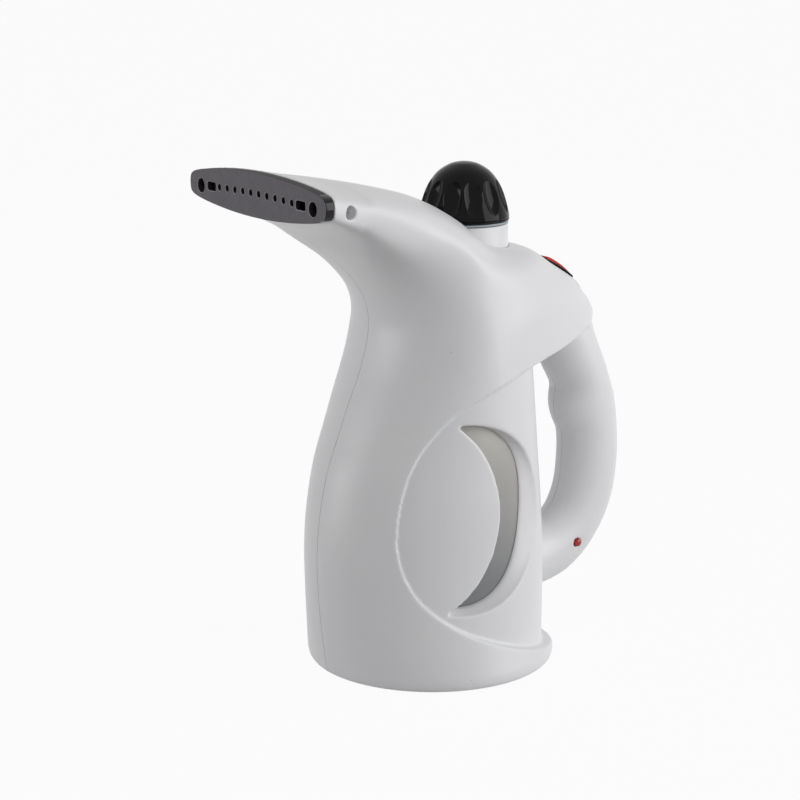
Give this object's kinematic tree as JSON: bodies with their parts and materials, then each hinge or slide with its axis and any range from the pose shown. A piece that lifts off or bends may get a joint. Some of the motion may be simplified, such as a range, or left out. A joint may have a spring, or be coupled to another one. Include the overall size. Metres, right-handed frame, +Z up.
{
  "type": "garment steamer",
  "caption": "Handheld garment steamer that stands on its round base: wide steam nozzle, screw filler cap, closed handle with rocker switch, and a crescent window on the water tank.",
  "frame": {"origin": "middle of the flat underside of the base cover, on the surface that the steamer stands on", "axes": "+Z up, -X towards the nozzle, +X towards the handle, +Y to the side without the lamp"},
  "size_m": [0.1946, 0.112, 0.2272],
  "materials": {
    "white_plastic": "moulded gloss white with fine specks",
    "black_gloss": "moulded gloss black",
    "black_matte": "moulded satin black",
    "nozzle_grey": "fine textured dark grey, heat resistant",
    "red_plastic": "moulded gloss red",
    "tank_plastic": "smoke grey translucent moulding",
    "washer_rubber": "pale grey rubber",
    "silicone": "natural silicone",
    "black_rubber": "satin black rubber",
    "cast_alloy": "die cast",
    "steel": "zinc plated",
    "ceramic": "moulded off-white",
    "neon_glass": "clear glass",
    "wire_red": "wire cover",
    "wire_blue": "wire cover"
  },
  "bodies": {
    "root": {"left_shell": "white_plastic", "right_shell": "white_plastic", "base_cover": "white_plastic", "filler_neck": "white_plastic", "base_screw_1": "steel", "base_screw_2": "steel", "base_screw_3": "steel", "base_screw_4": "steel", "shell_screw_1": "steel", "shell_screw_2": "steel", "shell_screw_3": "steel", "plate_screw_1": "steel", "plate_screw_2": "steel", "plate_screw_3": "steel", "heating_element": "steel", "switch_terminal_1": "steel", "switch_terminal_2": "steel", "water_tank": "tank_plastic", "tank_gasket": "silicone", "neck_seal": "silicone", "steam_hose": "silicone", "heating_plate": "cast_alloy", "thermostat": "cast_alloy", "thermal_fuse": "ceramic", "terminal_block": "ceramic", "cord_inlet": "black_rubber", "switch_housing": "black_gloss", "steam_spreader": "black_matte", "nozzle_plate": "nozzle_grey", "lamp_lens": "red_plastic", "lamp_bulb": "neon_glass", "wire_supply_to_switch": "wire_red", "wire_switch_to_heater": "wire_blue"},
    "cap_washer": {"cap_washer": "washer_rubber"},
    "cap": {"filler_cap": "black_gloss"},
    "rocker": {"switch_rocker": "red_plastic"}
  },
  "joints": [
    {"name": "cap_lift", "type": "slide", "parent": "root", "child": "cap_washer", "axis": [0, 0, 1], "range_m": [0, 0.0061]},
    {"name": "cap_turn", "type": "hinge", "parent": "cap_washer", "child": "cap", "pos_m": [0.0172, 0, 0.2], "axis": [0, 0, 1], "range_deg": [0, 540]},
    {"name": "rocker_tip", "type": "hinge", "parent": "root", "child": "rocker", "pos_m": [0.06213, 0, 0.16779], "axis": [0, -1, 0], "range_deg": [0, 7]}
  ],
  "couplings": [
    {"joint": "cap_lift", "follows": "cap_turn", "m_per_rad": 0.00063662}
  ]
}
